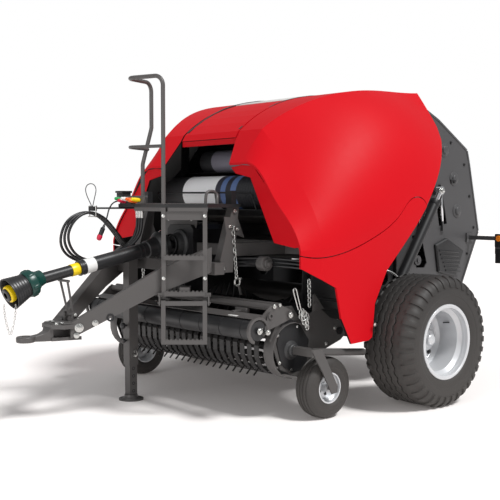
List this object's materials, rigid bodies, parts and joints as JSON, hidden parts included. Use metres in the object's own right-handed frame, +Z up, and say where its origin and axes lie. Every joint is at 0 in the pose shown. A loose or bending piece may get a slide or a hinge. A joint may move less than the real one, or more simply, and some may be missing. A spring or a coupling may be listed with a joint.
{
  "type": "round baler",
  "caption": "Towed round baler parked on its wheels and jack: fixed roller chamber, tined pickup with windguard, drawbar, power shaft, deck with ladder, side doors and hinged tailgate.",
  "frame": {"origin": "on the floor under the middle of the machine's length and width", "axes": "+X to the machine's left, +Y to its rear, +Z up; the drawbar points to -Y"},
  "size_m": [2.6598, 3.6606, 2.09],
  "materials": {
    "panel_red": "gloss",
    "frame_grey": "semi gloss",
    "gate_grey": "semi gloss",
    "frame_black": "satin",
    "machine_steel": "satin",
    "ram_chrome": "polished",
    "tyre_rubber": "matt",
    "rim_silver": "gloss",
    "guard_black": "satin",
    "lamp_red": "gloss",
    "net_white": "woven",
    "cast_black": "painted"
  },
  "bodies": {
    "chassis": {"axle": "frame_grey", "chamber_walls": "frame_grey", "front_rollers": "machine_steel", "feed_pan": "machine_steel", "hood": "panel_red", "fender_left": "panel_red", "fender_right": "panel_red", "drawbar": "frame_grey", "hitch": "cast_black", "front_frame": "frame_grey", "gearbox": "cast_black", "jack_sleeve": "frame_grey", "deck": "frame_grey", "ladder": "frame_grey", "handrail": "frame_grey", "hose_stand": "frame_black", "net_cradle": "frame_black", "spare_roll": "net_white", "hose_1": "guard_black", "hose_2": "guard_black", "hose_3": "guard_black", "cable": "guard_black"},
    "gate": {"tailgate": "gate_grey", "gate_covers": "guard_black", "rear_rollers": "machine_steel", "lamps": "lamp_red"},
    "pickup": {"pickup_frame": "frame_grey"},
    "wheel_left": {"tyre_left": "tyre_rubber", "rim_left": "rim_silver"},
    "wheel_right": {"tyre_right": "tyre_rubber", "rim_right": "rim_silver"},
    "gauge_wheel_left": {"gauge_tyre_left": "tyre_rubber", "gauge_rim_left": "rim_silver"},
    "gauge_wheel_right": {"gauge_tyre_right": "tyre_rubber", "gauge_rim_right": "rim_silver"},
    "tine_reel": {"reel": "frame_black"},
    "guard": {"windguard": "frame_grey"},
    "press_roller": {"crop_roller": "frame_grey"},
    "rotor": {"feed_rotor": "machine_steel"},
    "net": {"net_roll": "net_white"},
    "barrels": {"ram_barrels": "frame_black"},
    "rods": {"ram_rods": "ram_chrome"},
    "left_door": {"door_left": "panel_red"},
    "right_door": {"door_right": "panel_red"},
    "leg": {"jack_leg": "machine_steel"},
    "cross": {"pto_cross": "machine_steel"},
    "shaft_outer": {"pto_outer": "guard_black"},
    "shaft_inner": {"pto_inner": "guard_black"},
    "shaft_rest": {"pto_rest": "frame_black"},
    "step": {"ladder_step": "frame_grey"}
  },
  "joints": [
    {"name": "wheel_left_spin", "type": "hinge", "parent": "chassis", "child": "wheel_left", "pos_m": [1.135, 0.5683, 0.425], "axis": [1, 0, 0], "continuous": true},
    {"name": "wheel_right_spin", "type": "hinge", "parent": "chassis", "child": "wheel_right", "pos_m": [-1.135, 0.5683, 0.425], "axis": [1, 0, 0], "continuous": true},
    {"name": "pickup_lift", "type": "hinge", "parent": "chassis", "child": "pickup", "pos_m": [0, 0.0483, 0.5], "axis": [-1, 0, 0], "range_deg": [0, 15]},
    {"name": "gauge_left_spin", "type": "hinge", "parent": "pickup", "child": "gauge_wheel_left", "pos_m": [0.967, -0.2147, 0.19], "axis": [1, 0, 0], "continuous": true},
    {"name": "gauge_right_spin", "type": "hinge", "parent": "pickup", "child": "gauge_wheel_right", "pos_m": [-0.967, -0.2147, 0.19], "axis": [1, 0, 0], "continuous": true},
    {"name": "reel_spin", "type": "hinge", "parent": "pickup", "child": "tine_reel", "pos_m": [0, -0.3817, 0.42], "axis": [1, 0, 0], "continuous": true},
    {"name": "windguard_lift", "type": "hinge", "parent": "pickup", "child": "guard", "pos_m": [0, -0.4117, 0.64], "axis": [-1, 0, 0], "range_deg": [0, 12]},
    {"name": "crop_roller_spin", "type": "hinge", "parent": "guard", "child": "press_roller", "pos_m": [0, -0.6717, 0.565], "axis": [1, 0, 0], "continuous": true},
    {"name": "feed_rotor_spin", "type": "hinge", "parent": "chassis", "child": "rotor", "pos_m": [0, 0.0683, 0.58], "axis": [1, 0, 0], "continuous": true},
    {"name": "net_roll_spin", "type": "hinge", "parent": "chassis", "child": "net", "pos_m": [0, -0.1317, 1.38], "axis": [1, 0, 0], "continuous": true},
    {"name": "tailgate_lift", "type": "hinge", "parent": "chassis", "child": "gate", "pos_m": [0, 1.0383, 1.98], "axis": [1, 0, 0], "range_deg": [0, 70]},
    {"name": "ram_swing", "type": "hinge", "parent": "chassis", "child": "barrels", "pos_m": [0, 0.7183, 0.62], "axis": [1, 0, 0], "range_deg": [-2, 3]},
    {"name": "ram_stroke", "type": "slide", "parent": "barrels", "child": "rods", "axis": [0, 0.5763, 0.8173], "range_m": [0, 0.72]},
    {"name": "door_left_lift", "type": "hinge", "parent": "chassis", "child": "left_door", "pos_m": [0.316, 0.2683, 2.02], "axis": [0, -0.9967, -0.0809], "range_deg": [0, 60]},
    {"name": "door_right_lift", "type": "hinge", "parent": "chassis", "child": "right_door", "pos_m": [-0.316, 0.2683, 2.02], "axis": [0, 0.9967, 0.0809], "range_deg": [0, 60]},
    {"name": "jack_stroke", "type": "slide", "parent": "chassis", "child": "leg", "axis": [0, 0, 1], "range_m": [0, 0.17]},
    {"name": "shaft_yaw", "type": "hinge", "parent": "chassis", "child": "cross", "pos_m": [0, -0.7167, 1.041], "axis": [0, 0, 1], "range_deg": [-20, 20]},
    {"name": "shaft_pitch", "type": "hinge", "parent": "cross", "child": "shaft_outer", "pos_m": [0, -0.7167, 1.041], "axis": [-1, 0, 0], "range_deg": [0, 25]},
    {"name": "shaft_slide", "type": "slide", "parent": "shaft_outer", "child": "shaft_inner", "axis": [0, -0.981, -0.1942], "range_m": [-0.12, 0.1]},
    {"name": "shaft_rest_turn", "type": "hinge", "parent": "chassis", "child": "shaft_rest", "pos_m": [0, -1.3997, 0.64], "axis": [1, 0, 0], "range_deg": [0, 70]},
    {"name": "ladder_step_fold", "type": "hinge", "parent": "chassis", "child": "step", "pos_m": [0.39649, -0.99884, 0.716], "axis": [-0.6616, -0.7498, 0], "range_deg": [0, 170]}
  ],
  "couplings": [
    {"joint": "ram_swing", "follows": "tailgate_lift", "ratio": 0.0114},
    {"joint": "ram_stroke", "follows": "tailgate_lift", "m_per_rad": 0.5857}
  ]
}
